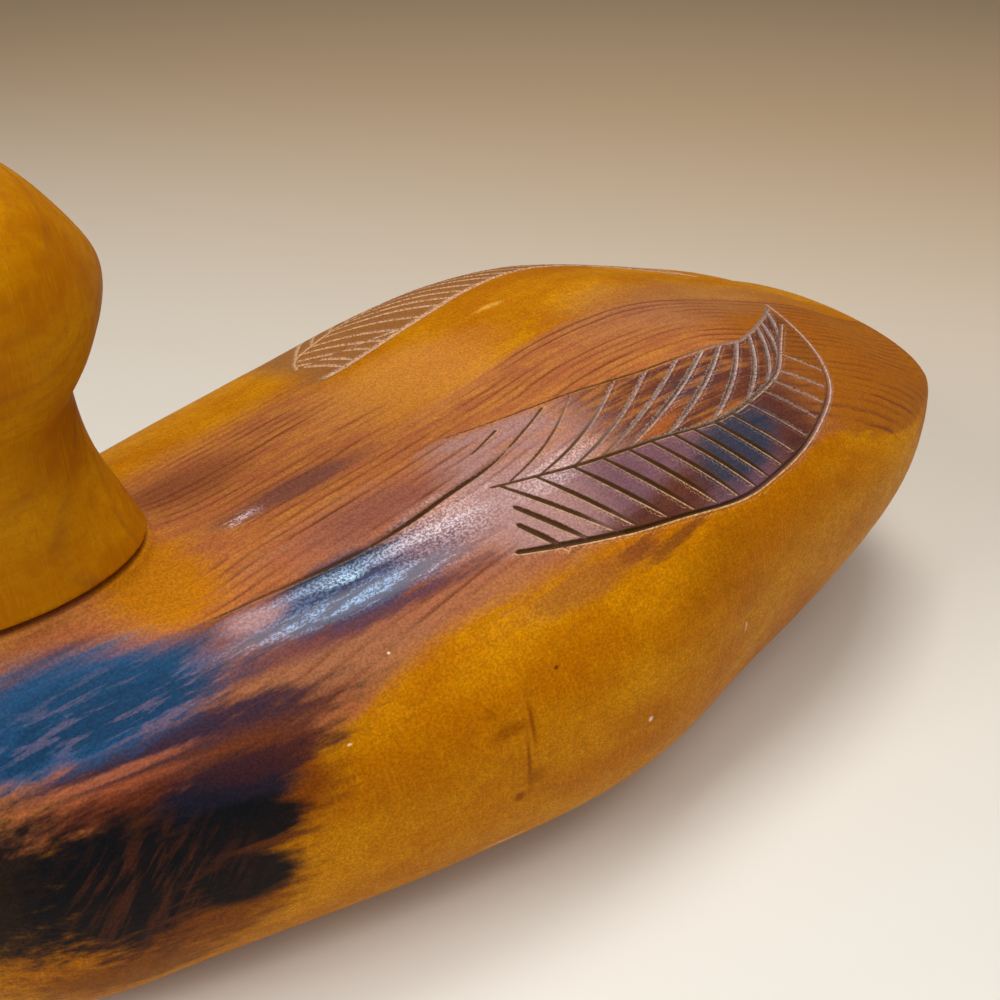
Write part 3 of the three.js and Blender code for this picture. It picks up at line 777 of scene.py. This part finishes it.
    # The wings. The left one is tan and lilac below the vein with a blue speculum, browner above it and at the tip.
    lilac = blend(tree, ramp(tree, along, -14.0, -34.0), WING_TAN, WING_LILAC)
    lilac = blend(tree, patch(-40.0, 49.0, 22.0, 5.0, 0.5, 0.8), lilac, WING_BROWN)
    lilac = blend(tree, ramp(tree, along, -66.0, -84.0), lilac, WING_BROWN)
    lilac = blend(tree, patch(-66.0, 48.5, 14.5, 8.5, 0.35, 0.6), lilac, SPECULUM)
    below_strength = times(attribute("below_vein"), ramp(tree, along, -84.0, -104.0, 0.9, 0.25))
    wood = blend(tree, below_strength, wood, lilac)
    far_wing = attribute("far_wing")
    wood = blend(tree, times(far_wing, 0.8), wood, FAR_WING_TAN)
    above_vein = attribute("above_vein")
    above = blend(tree, ramp(tree, along, -28.0, -50.0), WING_TAN, WING_BROWN)
    above = blend(tree, patch(-49.0, 33.0, 9.0, 1.8, 0.5, 0.6), above, WING_ORANGE)
    above = blend(tree, patch(-68.0, 29.0, 11.0, 3.2, 0.5, 1.0), above, WING_NAVY)
    above_strength = times(above_vein, ramp(tree, uneven, -0.25, 0.15, 0.35, 0.85))
    wood = blend(tree, above_strength, wood, above)
    wood = blend(tree, times(above_vein, rings["Late wood"], 0.8), wood, LATE_WOOD)
    # Painted highlights: granular pale glints on the wing's front, at and below the vein.
    painted_glints = patch(-24.0, 27.5, 11.0, 2.2, 0.5, 1.2)
    wood = blend(tree, times(painted_glints, grains, 0.4), wood, SHEEN_WARM_PAINTED)
    wood = blend(tree, times(patch(-18.0, 30.5, 8.0, 1.6, 0.5, 1.2), grains, 0.35), wood, SHEEN_WARM_PAINTED)

    # Inside the cuts: painted darker, as shade in the hollow and dried stain, dusty with a darker core towards the
    # wing's tip;
    # and their pale burr, a painted highlight where the lip catches the light.
    dusty = ramp(tree, work(tree, "MULTIPLY_ADD", above_vein, -45.0, along), -70.0, -102.0)
    dusty = work(tree, "MAXIMUM", dusty, far_wing)
    crumbs = work(tree, "SUBTRACT", grit, 0.5)
    crumbly = work(tree, "MULTIPLY_ADD", crumbs, work(tree, "MULTIPLY_ADD", dusty, 0.9, 0.7), attribute("inside_cut"))
    filled = ramp(tree, crumbly, 0.42, 0.6)
    darkened_cut = times(filled, ramp(tree, work(tree, "ADD", attribute("stain"), crumbs), 0.1, 0.7))
    dust = blend(tree, ramp(tree, crumbly, 0.72, 0.95), GROOVE_DUST, GROOVE_CORE)
    dust = blend(tree, far_wing, dust, FAR_DUST)
    wood = blend(tree, times(darkened_cut, 0.95), wood, blend(tree, dusty, GROOVE_DARK, dust))
    beyond = attribute("beyond_cut")
    lip = times(ramp(tree, beyond, 0.46, 0.52), ramp(tree, beyond, 0.62, 0.72, 1.0, 0.0))
    burr = times(lip, attribute("burr"), ramp(tree, grit, 0.38, 0.55, 0.45, 1.0))
    wood = blend(tree, burr, wood, blend(tree, dusty, BURR_HIGHLIGHT, BURR_DUST_AND_HIGHLIGHT))
    grain_light = ramp(tree, grit, 0.3, 0.7, 0.78, 1.24)
    wood = blend(tree, 1.0, wood, grain_light, "MULTIPLY")
    tree.links.new(wood, shader.inputs["Base Color"])

    feed(tree, shader.inputs["Roughness"], ramp(tree, bare["Freckle"], 0.3, 0.7, 0.42, 0.56))
    # The coat is glossier on the band where the sheen is painted.
    sheen_band = work(tree, "MAXIMUM", upper_painted_sheen, lower_painted_sheen)
    feed(tree, shader.inputs["Coat Weight"], work(tree, "MULTIPLY_ADD", sheen_band, 0.4, 0.015))
    shader.inputs["Specular IOR Level"].default_value = 0.06
    shader.inputs["Specular Tint"].default_value = VARNISH_GLOW
    shader.inputs["Coat Roughness"].default_value = 0.25
    bump = tree.nodes.new("ShaderNodeBump")
    bump.inputs["Strength"].default_value = 0.5
    bump.inputs["Distance"].default_value = 0.0002
    tree.links.new(bare["Relief"], bump.inputs["Height"])
    tree.links.new(bump.outputs[0], shader.inputs["Normal"])
    return material


body.data.materials.append(body_material())
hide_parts("body")
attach(body, "root")

# The head: carved from one piece of the same wood with its neck and bill, and glued by the
# neck's flat oval foot to the seat on the body. A knife line parts the closed bill, and the
# eyes are low carved domes. It has the same amber varnish, plain, with no stain.
NECK_FOOT_Z, NECK_TOP_Z, NECK_EDGE = 89.3, 150, 1.2
OCCIPUT_X, BILL_X, CROWN_Z = 55, 185, 175
OCCIPUT_ROUND, BILL_ROUND, HEAD_FULLNESS = 24, 9, 2.2
EYE_X, EYE_DEGREES, EYE_RADIUS, EYE_SUNK = 107, 60, 4.8, 2.8
NOSTRIL_X, NOSTRIL_DEGREES, NOSTRIL_LENGTH, NOSTRIL_DEPTH = 139, 52, 5.5, 1.3
MOUTH_START, MOUTH_END, MOUTH_Z, MOUTH_CUT = 119, 182, 138.5, (1.2, 0.9, 0.8, 1.0, 1.0, 1.0, 0.0, 0.0)

neck_centre = profile((NECK_FOOT_Z, SEAT_X), (105, 88), (125, 90), (NECK_TOP_Z, 92))
neck_half_length = profile(
    (NECK_FOOT_Z, SEAT_HALF_LENGTH), (98, 30), (110, 26.5), (122, 25.5), (NECK_TOP_Z, 27),
)
neck_half_width = profile(
    (NECK_FOOT_Z, SEAT_HALF_WIDTH), (100, 19.5), (112, 18.5), (125, 20), (NECK_TOP_Z, 21),
)
head_top = profile(
    (OCCIPUT_X, 161), (68, 170), (88, CROWN_Z), (106, 172.5), (121, 161.5),
    (133, 152.5), (155, 146), (BILL_X, 139.5),
)
head_bottom = profile(
    (OCCIPUT_X, 133), (68, 123), (84, 117.5), (102, 117), (118, 124),
    (133, 131.5), (160, 133), (BILL_X, 134.5),
)
head_half_width = profile(
    (OCCIPUT_X, 20), (70, 25.5), (90, 27.5), (106, 26), (120, 19),
    (134, 13), (150, 12.5), (170, 14.5), (BILL_X, 12),
)


def head_skin(x, degrees):
    """Points of the head and bill at x and an angle round them."""
    across, up = oval(degrees, HEAD_FULLNESS)
    swell = end_swell(x, OCCIPUT_X, BILL_X, OCCIPUT_ROUND, BILL_ROUND, 2)
    middle = (head_top(x) + head_bottom(x)) / 2
    reach = (head_top(x) - head_bottom(x)) / 2
    return np.stack([x + 0 * up, head_half_width(x) * swell * across, middle + reach * swell * up], axis=-1)


def neck_skin(z, degrees):
    """Points of the neck at a height and an angle round it, closed over at foot and top."""
    climb = (z - NECK_FOOT_Z) / (NECK_TOP_Z - NECK_FOOT_Z)
    open_out = np.clip(np.minimum(climb, 1 - climb) * 60, 0, 1)
    height = np.clip(z, NECK_FOOT_Z + 0.02, NECK_TOP_Z)
    length = neck_half_length(height) * open_out
    width = neck_half_width(height) * open_out
    return np.stack([
        neck_centre(height) + length * np.cos(np.radians(degrees)),
        width * np.sin(np.radians(degrees)),
        height,
    ], axis=-1)


def nothing_near(points, level):
    """No cell is split."""
    return np.zeros(len(points), bool)


def smooth_head():
    """Neck and head made one skin, with the crease where neck meets cheek worked smooth."""
    bm = skin_mesh(head_skin, (OCCIPUT_X, BILL_X), (90, 60), nothing_near)
    rough = bpy.data.meshes.new("head_block")
    neck = skin_mesh(neck_skin, (NECK_FOOT_Z, NECK_TOP_Z), (40, 60), nothing_near)
    neck.to_mesh(rough)
    neck.free()
    bm.from_mesh(rough)
    bm.to_mesh(rough)
    bm.free()
    block = bpy.data.objects.new("head_block", rough)
    bpy.context.scene.collection.objects.link(block)
    remesh = block.modifiers.new("one_skin", "REMESH")
    remesh.mode = "VOXEL"
    remesh.voxel_size = 0.62
    bpy.context.view_layer.update()
    seen = block.evaluated_get(bpy.context.evaluated_depsgraph_get())
    bm = bmesh.new()
    bm.from_mesh(seen.to_mesh())
    bpy.data.objects.remove(block)
    for low, high, passes in ((104, 140, 30), (109, 134, 40), (93, 190, 3)):
        belt = [vert for vert in bm.verts if low < vert.co.z < high and vert.co.x < 134]
        for _ in range(passes):
            bmesh.ops.smooth_vert(bm, verts=belt, factor=0.5, use_axis_x=True, use_axis_y=True, use_axis_z=True)
    bmesh.ops.recalc_face_normals(bm, faces=bm.faces)
    return bm


def mouth_line():
    """The line of the closed bill as x and degrees on the head's skin."""
    x = np.linspace(MOUTH_START, MOUTH_END, 500)
    middle = (head_top(x) + head_bottom(x)) / 2
    reach = (head_top(x) - head_bottom(x)) / 2
    lift = np.clip((MOUTH_Z - middle) / reach, -1, 1)
    return x, np.degrees(np.arccos(np.sign(lift) * np.abs(lift) ** (HEAD_FULLNESS / 2)))


left_mouth = cut_samples(head_skin, mouth_line(), *MOUTH_CUT)
head_cuts = np.concatenate([left_mouth, left_mouth * MIRROR])
bm = smooth_head()
points = np.array([vert.co for vert in bm.verts])
normals = np.array([vert.normal for vert in bm.verts])
sink, mouth_values = carve(points, point_tree(head_cuts[:, :3]), head_cuts, 1.2)
for side in (1, -1):
    eye = head_skin(np.array(float(EYE_X)), np.array(float(side * EYE_DEGREES)))
    to_eye = np.linalg.norm(points - eye, axis=1)
    sink -= (EYE_RADIUS - EYE_SUNK) * np.sqrt(np.clip(1 - (to_eye / 3.6) ** 2, 0, 1))
    sink += 0.5 * np.exp(-(((to_eye - 4.3) / 0.6) ** 2))
    hole = head_skin(np.array(float(NOSTRIL_X)), np.array(float(side * NOSTRIL_DEGREES)))
    along, aside = points[:, 0] - hole[0], np.linalg.norm((points - hole)[:, 1:], axis=1)
    sink += NOSTRIL_DEPTH * np.exp(-((along / NOSTRIL_LENGTH * 2) ** 4 + (aside / 1.1) ** 4))
for vert, point in zip(bm.verts, points - normals * sink[:, None]):
    vert.co = point
bmesh.ops.triangulate(bm, faces=bm.faces)
head = finished_piece(bm, "duck_head", mouth_values)

HEAD_PITH = (0.0, -34.0, 90.0)


def head_material():
    material = bpy.data.materials.new("varnished_plain_softwood")
    material.use_nodes = True
    tree = material.node_tree
    shader = tree.nodes["Principled BSDF"]
    coords = tree.nodes.new("ShaderNodeTexCoord")
    place = vector_work(tree, "MULTIPLY", coords.outputs["Object"], (1000.0, 1000.0, 1000.0))
    bare = use_group(tree, varnished_wood, Place=place, Deep=AMBER_DEEP, Amber=AMBER, Light=AMBER_LIGHT)
    rings = use_group(tree, growth_rings, Place=place, Pith=HEAD_PITH, Spacing=3.4, Waver=0.6)
    wood = blend(tree, work(tree, "MULTIPLY", rings["Late wood"], 0.3), bare["Colour"], LATE_WOOD)
    # The bill's knife line is painted darker inside, a painted shade in the cut.
    inside_cut = tree.nodes.new("ShaderNodeAttribute")
    inside_cut.attribute_name = "inside_cut"
    wood = blend(tree, ramp(tree, inside_cut.outputs["Fac"], 0.4, 0.65, 0.0, 0.9), wood, GROOVE_DARK)
    tree.links.new(wood, shader.inputs["Base Color"])
    feed(tree, shader.inputs["Roughness"], ramp(tree, bare["Freckle"], 0.3, 0.7, 0.45, 0.6))
    shader.inputs["Specular IOR Level"].default_value = 0.06
    shader.inputs["Specular Tint"].default_value = VARNISH_GLOW
    shader.inputs["Coat Weight"].default_value = 0.03
    shader.inputs["Coat Roughness"].default_value = 0.25
    bump = tree.nodes.new("ShaderNodeBump")
    bump.inputs["Strength"].default_value = 0.4
    bump.inputs["Distance"].default_value = 0.0002
    tree.links.new(bare["Relief"], bump.inputs["Height"])
    tree.links.new(bump.outputs[0], shader.inputs["Normal"])
    return material


head.data.materials.append(head_material())
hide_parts("head")
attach(head, "root")

# The stand: a plain pale table top, painted darker and tan away from the camera for the light falling off, with soft
# studio light from above and behind, and the camera close over the bird's left shoulder.
FLOOR_SIDE = 8.0
bm = bmesh.new()
bmesh.ops.create_grid(bm, x_segments=1, y_segments=1, size=FLOOR_SIDE / 2)
floor_mesh = bpy.data.meshes.new("pale_floor")
bm.to_mesh(floor_mesh)
bm.free()
floor = bpy.data.objects.new("pale_floor", floor_mesh)
bpy.context.scene.collection.objects.link(floor)
floor_paint = bpy.data.materials.new("pale_matt_paint")
floor_paint.use_nodes = True
floor_shader = floor_paint.node_tree.nodes["Principled BSDF"]
floor_tree = floor_paint.node_tree
floor_coords = floor_tree.nodes.new("ShaderNodeTexCoord")
# Painted shade: the floor turns darker and tan away from the camera, for the light falling off.
away = vector_work(floor_tree, "DOT_PRODUCT", floor_coords.outputs["Object"], (-0.85, -0.53, 0.0))
floor_tone_with_falloff = blend(floor_tree, ramp(floor_tree, away, -0.2, 0.7), colour(234, 234, 228), colour(208, 178, 142))
floor_tree.links.new(floor_tone_with_falloff, floor_shader.inputs["Base Color"])
floor_shader.inputs["Roughness"].default_value = 0.6
floor_mesh.materials.append(floor_paint)


def softbox(name, place, aim, size, power, tint):
    """A square area light at a place in metres, turned to a point."""
    lamp = bpy.data.lights.new(name, "AREA")
    lamp.size = size
    lamp.energy = power
    lamp.color = tint
    holder = bpy.data.objects.new(name, lamp)
    holder.location = place
    holder.rotation_euler = (Vector(aim) - Vector(place)).to_track_quat("-Z", "Y").to_euler()
    bpy.context.scene.collection.objects.link(holder)


softbox("overhead_softbox", (-0.2, -0.08, 1.1), (0, 0, 0.05), 0.45, 5.7, (1.0, 0.985, 0.96))
softbox("high_softbox", (0.0, 0.45, 1.2), (0, 0, 0.05), 0.6, 3.0, (1.0, 0.98, 0.95))
softbox("front_softbox", (0.3, 0.95, 1.15), (0, 0, 0.05), 1.0, 6.3, (1.0, 0.98, 0.95))
softbox("side_window", (1.15, 0.0, 0.85), (0, 0, 0.05), 0.5, 7.0, (1.0, 0.99, 0.97))
world = bpy.data.worlds.new("studio")
world.use_nodes = True
world.node_tree.nodes["Background"].inputs["Color"].default_value = (0.9, 0.88, 0.86, 1)
world.node_tree.nodes["Background"].inputs["Strength"].default_value = 0.1
bpy.context.scene.world = world
bpy.context.scene.view_settings.view_transform = "Standard"

CAMERA_PLACE = (0.1387, 0.2172, 0.2335)
CAMERA_YAW = 229.94
CAMERA_DOWN = 32.47
camera_data = bpy.data.cameras.new("photo_view")
camera_data.lens = 45
camera_data.sensor_width = 36
camera_data.clip_start = 0.01
camera = bpy.data.objects.new("photo_view", camera_data)
camera.location = CAMERA_PLACE
camera.rotation_euler = (math.radians(90 - CAMERA_DOWN), 0, math.radians(CAMERA_YAW - 90))
bpy.context.scene.collection.objects.link(camera)
bpy.context.scene.camera = camera
